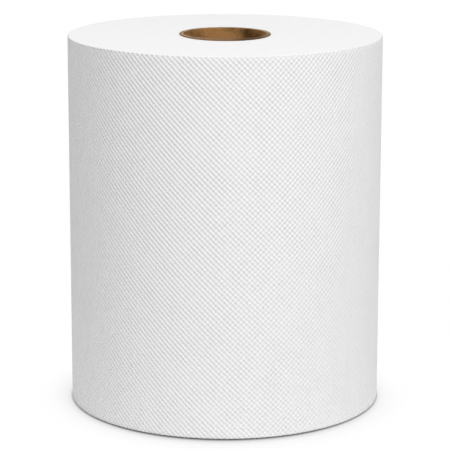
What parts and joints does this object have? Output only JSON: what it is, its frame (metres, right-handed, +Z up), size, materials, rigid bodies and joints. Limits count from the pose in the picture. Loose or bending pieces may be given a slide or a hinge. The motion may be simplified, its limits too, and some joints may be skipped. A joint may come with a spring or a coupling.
{
  "type": "paper towel roll",
  "caption": "Hard-wound roll of white embossed paper towel on a brown paperboard tube, standing on its end.",
  "frame": {"origin": "on the roll's axis at its lower end, the end of the tube that it stands on", "axes": "+Z up along the roll's axis, +Y towards the back, where the last turn's edge is"},
  "size_m": [0.1688, 0.169, 0.201],
  "materials": {
    "towel_paper": "matt white embossed towel paper",
    "brown_board": "matt brown paperboard, spirally wound"
  },
  "bodies": {
    "root": {"paper_roll": "towel_paper", "core_tube": "brown_board"}
  },
  "joints": []
}
